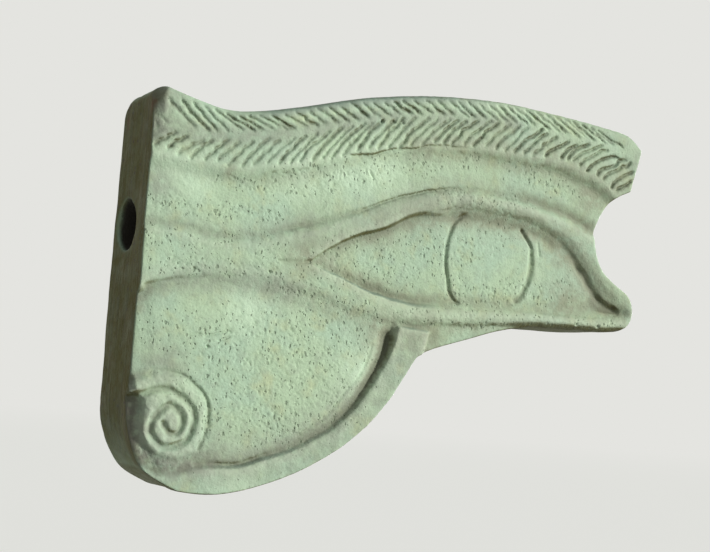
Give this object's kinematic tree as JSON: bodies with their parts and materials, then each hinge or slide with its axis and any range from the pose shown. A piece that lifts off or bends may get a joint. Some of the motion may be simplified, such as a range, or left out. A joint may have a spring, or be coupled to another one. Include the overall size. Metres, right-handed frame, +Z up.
{
  "type": "wedjat eye amulet",
  "caption": "Eye-shaped faience plaque in low relief, with a herringbone brow, lids, iris, cheek strip and spiral, pierced lengthwise for a cord.",
  "frame": {"origin": "on the axis of the cord bore, halfway between the left end face and the farthest point on the right", "axes": "upright as worn: +X along the cord bore towards the tip of the brow, -Y out of the carved front, +Z up"},
  "size_m": [0.07, 0.0114, 0.0523],
  "materials": {
    "glazed_faience": "matte, weathered pale green glaze with fine pits"
  },
  "bodies": {
    "root": {"amulet_body": "glazed_faience"}
  },
  "joints": []
}
